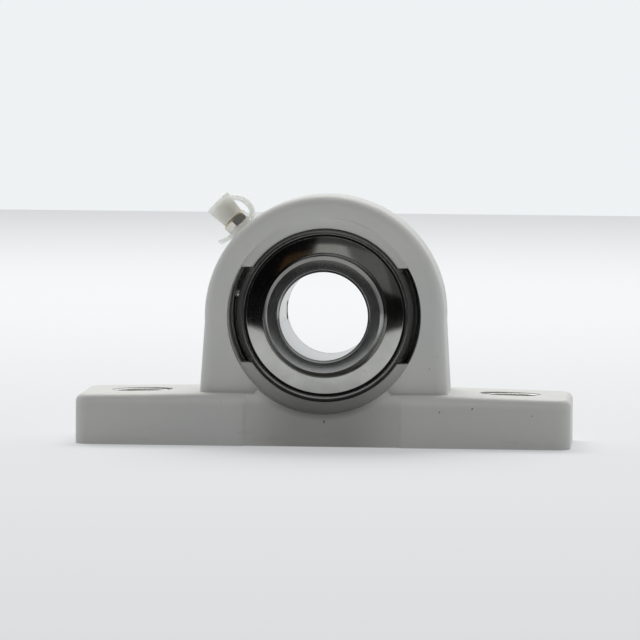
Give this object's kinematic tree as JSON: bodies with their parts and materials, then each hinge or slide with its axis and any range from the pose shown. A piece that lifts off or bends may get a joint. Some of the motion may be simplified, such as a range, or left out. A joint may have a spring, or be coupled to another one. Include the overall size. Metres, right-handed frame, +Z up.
{
  "type": "pillow block bearing unit",
  "caption": "Foot-mounted bearing unit: plastic arched housing with a long slotted foot, self-aligning insert bearing held by set screws, and a capped grease nipple.",
  "frame": {"origin": "underside of the foot, straight below the middle of the bearing", "axes": "+X along the foot, +Y along the shaft towards the set screw side, +Z up from the foot"},
  "size_m": [0.14, 0.0388, 0.0713],
  "materials": {
    "housing_plastic": "fine moulded grain, satin",
    "bushing_steel": "drawn stainless",
    "ring_steel": "ground stainless",
    "flinger_steel": "polished stamped stainless",
    "ball_steel": "lapped",
    "cage_steel": "pressed sheet",
    "seal_rubber": "moulded",
    "core_steel": "pressed sheet",
    "screw_steel": "turned stainless",
    "nipple_metal": "nickel plated",
    "spring_steel": "drawn wire",
    "cap_plastic": "translucent soft plastic"
  },
  "bodies": {
    "housing": {"housing": "housing_plastic", "slot_bushing_left": "bushing_steel", "slot_bushing_right": "bushing_steel", "nipple_body": "nipple_metal", "nipple_spring": "spring_steel", "cap_strap": "cap_plastic"},
    "outer_ring": {"outer_ring": "ring_steel", "rotation_lock_ball": "ball_steel", "seal_front": "seal_rubber", "seal_rear": "seal_rubber", "seal_core_front": "core_steel", "seal_core_rear": "core_steel"},
    "shaft_ring": {"inner_ring": "ring_steel", "flinger_front": "flinger_steel", "flinger_rear": "flinger_steel"},
    "cage": {"cage_front": "cage_steel", "cage_rear": "cage_steel", "cage_rivets": "cage_steel"},
    "set_screw_1": {"set_screw_1": "screw_steel"},
    "set_screw_2": {"set_screw_2": "screw_steel"},
    "check_ball": {"nipple_check_ball": "ball_steel"},
    "cap": {"nipple_cap": "cap_plastic"},
    "ball_1": {"ball_1": "ball_steel"},
    "ball_2": {"ball_2": "ball_steel"},
    "ball_3": {"ball_3": "ball_steel"},
    "ball_4": {"ball_4": "ball_steel"},
    "ball_5": {"ball_5": "ball_steel"},
    "ball_6": {"ball_6": "ball_steel"},
    "ball_7": {"ball_7": "ball_steel"},
    "ball_8": {"ball_8": "ball_steel"},
    "ball_9": {"ball_9": "ball_steel"}
  },
  "joints": [
    {"name": "ring_tilt", "type": "hinge", "parent": "housing", "child": "outer_ring", "pos_m": [0, 0, 0.0365], "axis": [1, 0, 0], "range_deg": [-5, 5]},
    {"name": "shaft_spin", "type": "hinge", "parent": "outer_ring", "child": "shaft_ring", "pos_m": [0, 0, 0.0365], "axis": [0, 1, 0], "continuous": true},
    {"name": "cage_orbit", "type": "hinge", "parent": "outer_ring", "child": "cage", "pos_m": [0, 0, 0.0365], "axis": [0, 1, 0], "continuous": true},
    {"name": "ball_1_roll", "type": "hinge", "parent": "cage", "child": "ball_1", "pos_m": [0, 0, 0.0558], "axis": [0, 1, 0], "continuous": true},
    {"name": "ball_2_roll", "type": "hinge", "parent": "cage", "child": "ball_2", "pos_m": [-0.01241, 0, 0.05128], "axis": [0, 1, 0], "continuous": true},
    {"name": "ball_3_roll", "type": "hinge", "parent": "cage", "child": "ball_3", "pos_m": [-0.01901, 0, 0.03985], "axis": [0, 1, 0], "continuous": true},
    {"name": "ball_4_roll", "type": "hinge", "parent": "cage", "child": "ball_4", "pos_m": [-0.01671, 0, 0.02685], "axis": [0, 1, 0], "continuous": true},
    {"name": "ball_5_roll", "type": "hinge", "parent": "cage", "child": "ball_5", "pos_m": [-0.0066, 0, 0.01836], "axis": [0, 1, 0], "continuous": true},
    {"name": "ball_6_roll", "type": "hinge", "parent": "cage", "child": "ball_6", "pos_m": [0.0066, 0, 0.01836], "axis": [0, 1, 0], "continuous": true},
    {"name": "ball_7_roll", "type": "hinge", "parent": "cage", "child": "ball_7", "pos_m": [0.01671, 0, 0.02685], "axis": [0, 1, 0], "continuous": true},
    {"name": "ball_8_roll", "type": "hinge", "parent": "cage", "child": "ball_8", "pos_m": [0.01901, 0, 0.03985], "axis": [0, 1, 0], "continuous": true},
    {"name": "ball_9_roll", "type": "hinge", "parent": "cage", "child": "ball_9", "pos_m": [0.01241, 0, 0.05128], "axis": [0, 1, 0], "continuous": true},
    {"name": "set_screw_1_travel", "type": "slide", "parent": "shaft_ring", "child": "set_screw_1", "axis": [-1, 0, 0], "range_m": [-0.0006, 0.002]},
    {"name": "set_screw_2_travel", "type": "slide", "parent": "shaft_ring", "child": "set_screw_2", "axis": [0.5, 0, 0.866], "range_m": [-0.0006, 0.002]},
    {"name": "check_ball_lift", "type": "slide", "parent": "housing", "child": "check_ball", "axis": [0.7071, 0, -0.7071], "range_m": [0, 0.0006], "stiffness_N_per_m": 120, "springref_m": -0.0005, "deforming": ["nipple_spring"]},
    {"name": "cap_pull", "type": "slide", "parent": "housing", "child": "cap", "axis": [-0.7071, 0, 0.7071], "range_m": [0, 0.0062], "deforming": ["cap_strap"]}
  ],
  "couplings": [
    {"joint": "cage_orbit", "follows": "shaft_spin", "ratio": 0.39718},
    {"joint": "ball_1_roll", "follows": "shaft_spin", "ratio": -2.3285},
    {"joint": "ball_2_roll", "follows": "shaft_spin", "ratio": -2.3285},
    {"joint": "ball_3_roll", "follows": "shaft_spin", "ratio": -2.3285},
    {"joint": "ball_4_roll", "follows": "shaft_spin", "ratio": -2.3285},
    {"joint": "ball_5_roll", "follows": "shaft_spin", "ratio": -2.3285},
    {"joint": "ball_6_roll", "follows": "shaft_spin", "ratio": -2.3285},
    {"joint": "ball_7_roll", "follows": "shaft_spin", "ratio": -2.3285},
    {"joint": "ball_8_roll", "follows": "shaft_spin", "ratio": -2.3285},
    {"joint": "ball_9_roll", "follows": "shaft_spin", "ratio": -2.3285}
  ]
}
